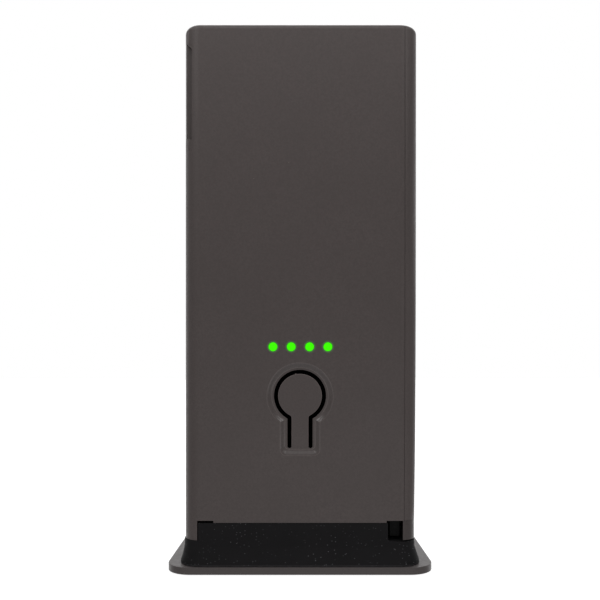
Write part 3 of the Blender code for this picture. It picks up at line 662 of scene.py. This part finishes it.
def slot_cut():
    chamfer = 0.07 * MM
    levels = [(slot_outline(chamfer), FRONT - OVER), (slot_outline(chamfer), BUTTON_FACE)]
    levels += [(slot_outline(), BUTTON_FACE + chamfer), (slot_outline(), INNER_FRONT + OVER)]
    return stack("slot_cut", levels, "Y")


def light_hole_cut(index, light):
    centre = light_centre(light)
    wide = circle(centre, LIGHT_RADIUS + 0.1 * MM, 40)
    fine = circle(centre, LIGHT_RADIUS + 0.04 * MM, 40)
    levels = [(wide, FRONT - OVER), (wide, FRONT), (fine, FRONT + 0.06 * MM), (fine, INNER_FRONT + OVER)]
    return stack(f"light_cut_{index}", levels, "Y")


def pocket_end(x, upper):
    """The height of the pocket's lower or upper end at x."""
    start = POCKET_HIGH if upper else POCKET_LOW
    return start + POCKET_SLOPES[upper] * (POCKET_FLOOR - x)


def pocket_cuts():
    outer = -HALF_X - OVER
    outline = [(POCKET_FLOOR, pocket_end(POCKET_FLOOR, 0)), (POCKET_FLOOR, pocket_end(POCKET_FLOOR, 1))]
    outline += [(outer, pocket_end(outer, 1)), (outer, pocket_end(outer, 0))]
    pocket = prism("pocket_cut", outline, FRONT - OVER, POCKET_END, "Y")
    recess_low = (DOOR_AXIS[0], DOOR_AXIS[1] - 1.4 * MM, POCKET_LOW)
    recess_high = (DOOR_AXIS[0] + 1.3 * MM, POCKET_END, POCKET_HIGH)
    recess = box("hinge_recess_cut", recess_low, recess_high)
    made = [pocket, recess]
    for node, corner in (("usb_c_port", 1.3 * MM), ("usb_a_port", 0.4 * MM)):
        low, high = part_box(node)
        half = ((high.y - low.y) / 2 + 0.2 * MM, (high.z - low.z) / 2 + 0.2 * MM)
        centre = ((low.y + high.y) / 2, (low.z + high.z) / 2)
        outline = rounded_rectangle(half, corner, 6, centre)
        made.append(prism(node + "_window", outline, POCKET_FLOOR - MM, POCKET_FLOOR + 3 * MM, "X"))
    return made


def depth_in(point):
    """How far a point is inside the tower's outline."""
    over_x = abs(point.x) - (HALF_X - CORNER)
    over_y = abs(point.y) - (HALF_Y - CORNER)
    return CORNER - math.hypot(max(over_x, 0.0), max(over_y, 0.0)) - min(max(over_x, over_y), 0.0)


def moulding(centre, index):
    """Chooses the moulded surface, its edges with a painted highlight, the shell's inside in painted shade
    or the polished recess.
    """
    under_top, behind_pocket = TOP - 0.5 * MM, POCKET_FLOOR + 0.2 * MM
    if depth_in(centre) > SKIN and centre.x > behind_pocket and centre.z < under_top:
        return INSIDE
    near_button = abs(centre.x) < DISH_RIM[0] and DISH_RIM[2] < centre.z < LIGHTS[0][0].z
    fold = min(centre.y - FRONT, BUTTON_FACE - centre.y)
    # the recess's rim and the edge of its floor take the painted edge highlight
    if near_button and fold > 0.001 * MM:
        return EDGE if fold < 0.012 * MM else POLISHED
    return EDGE if index == EDGE else BODY


def make_housing(materials):
    housing = tower_form("housing_shell")
    cut(housing, tower_hollow("hollow_cut"))
    cut(housing, all_between("seam_cut", SEAM_LEFT, HALF_X + OVER))
    cut(housing, all_between("right_leg_cut", NOTCH_HALF - 0.02 * MM, HALF_X + OVER, high_z=NOTCH_TOP))
    cut(housing, front_notch())
    liner_low = (-HALF_X + MM, FRONT + MM, POCKET_LOW - 2.3 * MM)
    liner_high = (POCKET_FLOOR + 1.8 * MM, POCKET_END + 2.1 * MM, TOP - MM)
    join(housing, box("liner_join", liner_low, liner_high))
    for tool in pocket_cuts():
        cut(housing, tool)
    cut(housing, dish_cut())
    cut(housing, slot_cut())
    for i, light in enumerate(LIGHTS):
        cut(housing, light_hole_cut(i, light))
    soften(housing, SOFT_EDGE)
    paint(settle(housing), materials, moulding)
    return dress(housing, None, "tower", ["main_housing"])


def make_panel(materials):
    panel = tower_form("side_cover", low=PANEL_LOW.z)
    cut(panel, tower_hollow("hollow_cut"))
    cut(panel, all_between("left_cut", -2 * HALF_X, SEAM_RIGHT))
    soften(panel, SOFT_EDGE)
    paint(settle(panel), materials, moulding)
    return dress(panel, None, "tower", ["side_panel"])


def make_skirt(materials):
    inset = HALF_X - SKIRT_HIGH.x
    skirt = tower_form("lower_side_piece", inset=inset, top=NOTCH_TOP + 2 * MM)
    cut(skirt, tower_hollow("hollow_cut"))
    cut(skirt, all_between("left_cut", -2 * HALF_X, NOTCH_HALF))
    cut(skirt, all_between("top_cut", 0.0, 2 * HALF_X, low_z=NOTCH_TOP - 0.03 * MM))
    soften(skirt, 0.8 * SOFT_EDGE)
    paint(skirt, materials, moulding)
    return dress(skirt, None, "tower", ["side_skirt"])


# the button's back takes the painted inside shade, and its rounded rim the painted edge highlight
def button_part(centre, rim):
    if centre.y > rim + 0.06 * MM:
        return INSIDE
    return EDGE if centre.y > BUTTON_FACE + 0.005 * MM else BODY


def make_button(materials):
    """The keyhole tongue, sliced across at even heights along its stem."""
    edge, fillet, corner = 0.13 * MM, 0.66 * MM, 0.02 * MM
    levels = []
    for i in range(4):
        angle = math.radians(90 * i / 3)
        drawn_in = edge * (1 - math.sin(angle))
        radius, half_stem = BUTTON_RADIUS - drawn_in, STEM_HALF - drawn_in
        outline = keyhole(radius, half_stem, ROOT_Z, fillet + drawn_in, corner)
        levels.append((outline, BUTTON_FACE + edge * (1 - math.cos(angle))))
    levels.append((levels[-1][0], INNER_FRONT - 0.1 * MM))
    button = stack("push_button", levels, "Y")
    bm = bmesh.new()
    bm.from_mesh(button.data)
    for i in range(1, 8):
        height = ROOT_Z + i * 0.9 * MM
        everything = list(bm.verts) + list(bm.edges) + list(bm.faces)
        bmesh.ops.bisect_plane(bm, geom=everything, plane_co=(0, 0, height), plane_no=(0, 0, 1))
    bm.to_mesh(button.data)
    bm.free()
    join(button, rod("boss_join", (0.0, BUTTON_Z), 2.0 * MM, INNER_FRONT - MM, BUTTON_HIGH.y, "Y"))
    gate = (-0.95 * MM, BUTTON_Z + BUTTON_RADIUS * 0.975)
    join(button, rod("gate_mark_join", gate, 0.2 * MM, BUTTON_FACE + 0.03 * MM, BUTTON_FACE + MM, "Y", 12))
    smooth(button)
    rim = BUTTON_FACE + 0.12 * MM
    paint(button, materials, lambda centre, _: button_part(centre, rim))
    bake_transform(button)
    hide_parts("button")
    return button


def make_door(materials):
    """The cover over the ports: a flat front end, the tower's corner, and a hinge barrel at its back."""
    corner = (-HALF_X + CORNER, -HALF_Y + CORNER)
    end = math.degrees(math.asin((corner[1] - DOOR_END) / CORNER))
    reach = math.degrees(math.acos((DOOR_INNER - DOOR_AXIS[0]) / DOOR_BARREL))
    outline = [(DOOR_INNER, DOOR_END)] + arc(corner, CORNER, 180 + end, 180, 10)
    outline += arc(DOOR_AXIS, DOOR_BARREL, 180, -reach, 28)
    clear = 0.12 * MM
    bottom_ring = [(x, y, pocket_end(x, 0) + clear) for x, y in outline]
    top_ring = [(x, y, pocket_end(x, 1) - clear) for x, y in outline]
    door = loft("port_cover", [bottom_ring, top_ring])
    cut(door, rod("bore_cut", DOOR_AXIS, 0.65 * MM, POCKET_LOW - OVER, TOP))
    flat_low = (-2 * HALF_X, DOOR_AXIS[1] - 1.6 * MM, POCKET_HIGH - 0.35 * MM)
    cut(door, box("hinge_top_cut", flat_low, (0.0, HALF_Y, TOP)))
    relief_low = (-2 * HALF_X, DOOR_AXIS[1] - 1.9 * MM, POCKET_LOW - OVER)
    cut(door, box("hinge_bottom_cut", relief_low, (0.0, HALF_Y, pocket_end(-HALF_X, 0) + 0.2 * MM)))
    scoop_at = (-HALF_X - 2.3 * MM, DOOR_END + 4.2 * MM)
    middle = (DOOR_LOW.z + DOOR_HIGH.z) / 2
    cut(door, rod("finger_scoop_cut", scoop_at, 2.9 * MM, middle - 4 * MM, middle + 4 * MM, sides=64))
    soften(door, SOFT_EDGE)
    for vert in door.data.vertices:
        vert.co.x += DOOR_SHIFT
    paint(door, materials, lambda centre, index: index if index == EDGE else BODY)
    return dress(door, None, "port_door", ["port_door"])


def make_light(index, light, materials):
    """A light pipe with a slightly domed face."""
    centre = light_centre(light)
    levels = []
    for i in range(5):
        angle = math.radians(90 * i / 4)
        radius = LIGHT_RADIUS * (0.55 + 0.45 * math.sin(angle))
        levels.append((circle(centre, radius, 40), light[0].y - 0.12 * MM * math.cos(angle)))
    levels.append((circle(centre, LIGHT_RADIUS, 40), FRONT + 0.45 * MM))
    levels.append((circle(centre, LIGHT_RADIUS, 40), light[1].y))
    lens = smooth(stack(f"light_lens_{index}", levels, "Y"))
    lit = FRONT + 0.5 * MM
    # behind its face the pipe takes the painted inside shade
    paint(lens, materials, lambda centre, _: 0 if centre.y < lit else 1)
    return dress(lens, None, "tower", [f"light_pipe_{index}"])


# ---------------------------------------------------------------- foot pieces

def boot_profile():
    """How far the skirt stands out at each height, from its foot to the top of its tongue."""
    levels = []
    curl = 0.3 * MM
    base = PLATE_TOP - 0.02 * MM
    for i in range(5):
        angle = math.radians(90 * i / 4)
        levels.append((base + curl * math.sin(angle), BOOT_FLARE - curl * 0.5 * (1 - math.sin(angle))))
    steps = 14
    for i in range(1, steps + 1):
        share = i / steps
        z = BOOT_WIDEST + (BOOT_RIM - BOOT_WIDEST) * share
        proud = BOOT_PROUD + (BOOT_FLARE - BOOT_PROUD) * (1 - share) ** 2.1
        groove = 0.07 * MM * math.exp(-(((z - CREASE_Z) / (0.12 * MM)) ** 2))
        levels.append((z, proud - groove))
    levels.append((TONGUE_TOP, BOOT_PROUD))
    return levels


def make_boot(material):
    made = []
    for z, proud in boot_profile():
        half = (HALF_X + proud, HALF_Y + proud)
        made.append((rounded_rectangle(half, CORNER + proud, 18), z))
    boot = stack("boot_skirt", made)
    opening = (18.5 * MM, 12.5 * MM)
    cut(boot, prism("core_room_cut", rounded_rectangle(opening, 2.3 * MM, 8), 0.0, TOP))
    cut(boot, box("back_cut", (-2 * HALF_X, TONGUE_BACK, BOOT_RIM), (2 * HALF_X, 2 * HALF_Y, TOP)))
    cut(boot, box("left_cut", (-2 * HALF_X, -2 * HALF_Y, BOOT_RIM), (TONGUE_X[0], 0.0, TOP)))
    cut(boot, box("right_cut", (TONGUE_X[1], -2 * HALF_Y, BOOT_RIM), (2 * HALF_X, 0.0, TOP)))
    drawn_in, sag = 0.18 * MM, 0.3 * MM  # of the rim at the right
    for vert in boot.data.vertices:
        if vert.co.z < BOOT_RIM + 0.1 * MM:
            share = fade(vert.co.x, 19.6 * MM, 24 * MM) * fade(vert.co.z, 3.4 * MM, 6.5 * MM)
            vert.co.x -= drawn_in * share
            vert.co.z -= sag * share
    soften(boot, 1.2 * SOFT_EDGE)
    return dress(boot, material, "stand", ["rubber_boot"])


def make_plate(material):
    corner = 5.7 * MM
    levels = []
    lower_edge, upper_edge = 0.07 * MM, 0.08 * MM
    half = (PLATE_HIGH.x + 0.04 * MM, PLATE_HIGH.y)
    for i in range(6):
        angle = math.radians(90 * i / 5)
        drawn_in = lower_edge * (1 - math.sin(angle))
        outline = rounded_rectangle((half[0] - drawn_in, half[1] - drawn_in), corner - drawn_in, 18)
        levels.append((outline, PLATE_LOW.z + lower_edge * (1 - math.cos(angle))))
    for i in range(6):
        angle = math.radians(90 * i / 5)
        drawn_in = upper_edge * (1 - math.cos(angle))
        outline = rounded_rectangle((half[0] - drawn_in, half[1] - drawn_in), corner - drawn_in, 18)
        levels.append((outline, PLATE_TOP - upper_edge * (1 - math.sin(angle))))
    plate = stack("base_plate", levels)
    island = rounded_rectangle((18.2 * MM, 12.2 * MM), 2 * MM, 8)
    join(plate, prism("island_join", island, PLATE_TOP - MM, PLATE_HIGH.z))
    room = (PAD_HIGH.x + 0.25 * MM, PAD_HIGH.y + 0.25 * MM)
    cut(plate, prism("pad_room_cut", rounded_rectangle(room, corner, 12), -OVER, PAD_HIGH.z + 0.1 * MM))
    smooth(plate)
    return dress(plate, material, "stand", ["foot_plate"])


def make_shade_sheet(material):
    """A black sheet over the board, behind the slots round the button: painted shade, so the board doesn't
    show through them.
    """
    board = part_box("main_pcb")[0]
    half, gap, thickness = (10.5 * MM, 10.2 * MM), 0.03 * MM, 0.1 * MM
    outline = rounded_rectangle(half, MM, 6, (0.0, ROOT_Z + 8.7 * MM))
    film = smooth(prism("painted_shade_sheet", outline, board.y - gap - thickness, board.y - gap, "Y"))
    return dress(film, material, "tower")


def boxes(name, corners):
    """Several boxes in one piece."""
    bm = bmesh.new()
    for low, high in corners:
        part = box("strip", low, high)
        bm.from_mesh(part.data)
        bpy.data.objects.remove(part)
    return mesh_object(name, bm)


def make_port_insides(plastic, gold):
    """The plastic tongue of each socket, with its row of gilded contacts."""
    sleeve = 0.03 * MM
    sockets = (
        # name, start of the tongue, its y range from the middle, half width, contact pitch and count
        ("usb_a", 1.0 * MM, (-2.1 * MM, -0.3 * MM), 5.6 * MM, 2.2 * MM, 4),
        ("usb_c", 0.8 * MM, (-0.35 * MM, 0.35 * MM), 3.3 * MM, 0.5 * MM, 12),
    )
    for name, start, depth, half, pitch, count in sockets:
        low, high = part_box(name + "_port")
        middle = ((low.y + high.y) / 2, (low.z + high.z) / 2)
        tongue_low = (low.x + start - sleeve, middle[0] + depth[0] - sleeve, middle[1] - half - sleeve)
        tongue_high = (high.x - 1.5 * MM, middle[0] + depth[1] + sleeve, middle[1] + half + sleeve)
        tongue = box(name + "_tongue", tongue_low, tongue_high)
        soften(tongue, 0.8 * SOFT_EDGE)
        dress(tongue, plastic, "tower")
        face, wide = tongue_high[1], 0.27 * pitch
        corners = []
        for i in range(count):
            z = middle[1] + (i - (count - 1) / 2) * pitch
            low = (tongue_low[0] + 0.5 * MM, face - 0.05 * MM, z - wide)
            corners.append((low, (tongue_high[0], face + 0.04 * MM, z + wide)))
        dress(smooth(boxes(name + "_contacts", corners)), gold, "tower")


def make_pad(material):
    """The grip pad, with shallow grooves along its underside."""
    half = (PAD_HIGH.x, PAD_HIGH.y)
    levels = [(rounded_rectangle((half[0] - 0.15 * MM, half[1] - 0.15 * MM), 3.6 * MM, 12), PAD_LOW.z)]
    levels.append((rounded_rectangle(half, 3.75 * MM, 12), PAD_LOW.z + 0.15 * MM))
    levels.append((rounded_rectangle(half, 3.75 * MM, 12), PAD_HIGH.z))
    pad = stack("grip_pad", levels)
    grooves = []
    for i in range(-4, 5):
        y = i * 2.6 * MM
        low = (-half[0] + 3 * MM, y - 0.3 * MM, -OVER)
        grooves.append(box(f"groove_{i + 4}", low, (half[0] - 3 * MM, y + 0.3 * MM, 0.25 * MM)))
    for groove in grooves:
        cut(pad, groove)
    smooth(pad)
    return dress(pad, material, "stand", ["foot_pad"])


# ---------------------------------------------------------------- what stays as CAD

def carry_over(names, material):
    """Gives a material to CAD nodes that show as they are."""
    for name in names:
        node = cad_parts[name]
        node.data.materials.clear()
        node.data.materials.append(material)


def make_stage():
    """A white sweep. Only the camera sees it, so the studio's own light decides the shading."""
    paper = Look("studio_floor", roughness=0.9, specular=0.0)
    cloud = paper.ranged(paper.noise(0.6, 2.0), 0.3, 0.7)
    paper.colour(paper.mixed(cloud, (0.40, 0.40, 0.40), (0.42, 0.42, 0.42)))
    paper.shader.inputs["Emission Color"].default_value = (1.0, 1.0, 1.0, 1.0)
    paper.shader.inputs["Emission Strength"].default_value = 0.84
    reach = 4.0
    floor = prism("studio_floor", rectangle((-reach, -reach), (reach, reach)), -0.01, -0.00001)
    floor.data.materials.append(paper.material)
    floor.visible_diffuse = False
    floor.visible_glossy = False


def area_light(name, place, target, size, power, glossy=True, diffuse=True):
    """A soft light. Turning glossy or diffuse off keeps it out of the reflections or the shading."""
    data = bpy.data.lights.new(name, "AREA")
    data.shape = "RECTANGLE"
    data.size, data.size_y = size
    data.energy = power
    light = bpy.data.objects.new(name, data)
    bpy.context.scene.collection.objects.link(light)
    light.location = place
    aim = (Vector(target) - Vector(place)).to_track_quat("-Z", "Y")
    light.rotation_euler = aim.to_euler()
    light.visible_camera = False
    light.visible_glossy = glossy
    light.visible_diffuse = diffuse


# how bright the tent is from -Y to +Y, and from below to above: (position from 0 to 1, brightness)
TENT_DEPTH = ((0.0, 0.44), (0.5, 0.3), (0.7, 0.68), (0.85, 1.7))
TENT_HEIGHT = ((0.0, 1.8), (0.4, 1.25), (0.55, 0.85), (0.75, 0.8), (0.9, 2.0))


def ramp(tree, source, stops):
    """Brightness along one axis of the world's direction."""
    share = tree.nodes.new("ShaderNodeMapRange")
    share.inputs["From Min"].default_value = -1.0
    tree.links.new(source, share.inputs["Value"])
    node = tree.nodes.new("ShaderNodeValToRGB")
    colours = node.color_ramp
    colours.interpolation = "EASE"
    colours.elements[0].position, colours.elements[1].position = stops[0][0], stops[-1][0]
    for position, _ in stops[1:-1]:
        colours.elements.new(position)
    for element, (_, value) in zip(colours.elements, stops):
        element.color = (value, value, value, 1.0)
    tree.links.new(share.outputs["Result"], node.inputs["Fac"])
    return node.outputs["Color"]


def make_world():
    """White to the camera. As a light it's a tent: bright behind, dimmer at the sides."""
    world = bpy.data.worlds.new("white_studio")
    world.use_nodes = True
    tree = world.node_tree
    node = tree.nodes.new
    link = tree.links.new
    direction = node("ShaderNodeSeparateXYZ")
    link(node("ShaderNodeTexCoord").outputs["Generated"], direction.inputs["Vector"])
    tent = node("ShaderNodeMath")
    tent.operation = "MULTIPLY"
    link(ramp(tree, direction.outputs["Y"], TENT_DEPTH), tent.inputs[0])
    link(ramp(tree, direction.outputs["Z"], TENT_HEIGHT), tent.inputs[1])
    seen, blend = node("ShaderNodeBackground"), node("ShaderNodeMixShader")
    lighting = tree.nodes["Background"]
    link(tent.outputs["Value"], lighting.inputs["Strength"])
    for background in (lighting, seen):
        background.inputs["Color"].default_value = (1.0, 1.0, 1.0, 1.0)
    link(node("ShaderNodeLightPath").outputs["Is Camera Ray"], blend.inputs["Fac"])
    link(lighting.outputs["Background"], blend.inputs[1])
    link(seen.outputs["Background"], blend.inputs[2])
    link(blend.outputs["Shader"], tree.nodes["World Output"].inputs["Surface"])
    bpy.context.scene.world = world


def make_light_and_camera():
    make_world()
    middle = (0.0, FRONT, 0.05)
    for name, side in (("left_softbox", -1), ("right_softbox", 1)):
        place, glint_place = (side * 0.214, FRONT - 0.17, 0.26), (side * 0.149, FRONT - 0.154, 0.257)
        area_light(name, place, middle, (0.08, 0.08), 0.105, glossy=False)
        area_light(name + "_glint", glint_place, middle, (0.085, 0.085), 0.1, diffuse=False)
    area_light("overhead_softbox", (-0.012, FRONT - 0.06, 0.205), (0.0, FRONT, 0.11), (0.12, 0.04), 0.04)
    area_light("low_fill", (0.012, FRONT - 0.075, 0.012), (0.0, FRONT, 0.02), (0.16, 0.02), 0.008)
    camera_data = bpy.data.cameras.new("camera")
    camera_data.lens = 41.95
    camera_data.sensor_width = 36.0
    camera_data.shift_y = 0.12
    camera_data.clip_start = 0.005
    camera = bpy.data.objects.new("camera", camera_data)
    bpy.context.scene.collection.objects.link(camera)
    distance, height = 0.155, 0.0448
    camera.location = (0.0, FRONT - distance, height)
    camera.rotation_euler = (math.radians(90), 0.0, 0.0)
    bpy.context.scene.camera = camera
    bpy.context.scene.view_settings.view_transform = "Standard"


# ---------------------------------------------------------------- build

shell = shell_plastic("satin_shell_plastic", lights=LIGHTS)
# a lighter copy of the shell for the moulded edges: a painted highlight
edge_highlight = shell_plastic("shell_edge_painted_highlight", shade(SHELL_COLOUR, 1.6), dust=0.0, lights=LIGHTS, depth=0.3)
# near black: painted shade for the shell's inside and the parts behind its front
dark = unlit("painted_inside_shade")
polished = shell_plastic("polished_recess", dust=0.0, roughness=0.21, specular=0.52, depth=0.02)
moulded = (shell, edge_highlight, dark, polished)
plain_shell = shell_plastic("button_plastic")
# a lighter copy of the button's plastic for its rounded rim: a painted highlight
button_rim_highlight = shell_plastic("button_painted_edge_highlight", shade(SHELL_COLOUR, 1.6), dust=0.0, depth=0.3)
# a darker copy of the shell for the port cover: painted shade in its recess
door_shell_shaded = shell_plastic("door_plastic_painted_shade", shade(SHELL_COLOUR, 0.9), dust=0.0)
# a darker copy of the shell for the lower side piece: painted shade under the side cover's overhang
skirt_shell_shaded = shell_plastic("skirt_plastic_painted_shade", shade(SHELL_COLOUR, 0.73), dust=0.0)
plate_shell = shell_plastic("plate_plastic", (0.081, 0.070, 0.069), dust=0.2)
rubber = black_rubber("black_rubber")
black = black_plastic("black_plastic")
# black plastic at half brightness for the bottom bulkhead: painted shade
shaded = black_plastic("shaded_plastic", 0.5, 0.12)
steel = metal("plated_steel", (0.62, 0.61, 0.6), 0.28)
aluminium = metal("drawn_aluminium", (0.78, 0.79, 0.8), 0.3)
nickel = metal("nickel_strip", (0.64, 0.61, 0.55), 0.3, (14.0, 1.0, 1.0))
lens_look = lit_lens("lit_green_lens")

make_housing(moulded)
make_panel(moulded)
make_skirt((skirt_shell_shaded, edge_highlight, dark))
make_button((plain_shell, button_rim_highlight, dark))
make_door((door_shell_shaded, edge_highlight))
for number, light_box in enumerate(LIGHTS, 1):
    make_light(number, light_box, (lens_look, dark))
make_boot(rubber)
make_plate(plate_shell)
make_pad(rubber)
# a black sheet behind the button's slots: painted shade
make_shade_sheet(dark)
make_port_insides(black, metal("gilded_contacts", (0.83, 0.58, 0.24), 0.25))

# the light baffle inside the shell takes the painted inside shade
carry_over(["light_baffle"], dark)
carry_over(["bottom_bulkhead"], shaded)
carry_over(["seat_core", "tact_switch", "switch_plunger"], black)
carry_over(["cell_holder_bottom", "cell_holder_top", "power_inductor", "thermistor"], black)
carry_over(["charger_chip", "protection_chip"], glossy("chip_package", (0.012, 0.012, 0.013), 0.4))
carry_over(["usb_c_port", "usb_a_port", "door_pin"], steel)
carry_over([f"stand_screw_{i}" for i in (1, 2)] + [f"bulkhead_screw_{i}" for i in (1, 2, 3)], steel)
carry_over([f"pcb_screw_{i}" for i in (1, 2, 3, 4)], steel)
carry_over(["capacitor_1", "capacitor_2"], aluminium)
carry_over(["nickel_strip_bottom", "nickel_strip_top"], nickel)
carry_over(["main_pcb"], circuit_board("circuit_board"))
carry_over([f"led_{i}" for i in (1, 2, 3, 4)], glossy("led_package", (0.8, 0.78, 0.6), 0.25))
carry_over(["cell_1", "cell_2"], cell_sleeve("cell_sleeve"))
carry_over(["foam_pad"], foam("closed_cell_foam"))
carry_over(["positive_lead"], glossy("red_insulation", (0.45, 0.02, 0.02), 0.35))
carry_over(["negative_lead"], glossy("black_insulation", (0.012, 0.012, 0.012), 0.35))

make_stage()
make_light_and_camera()
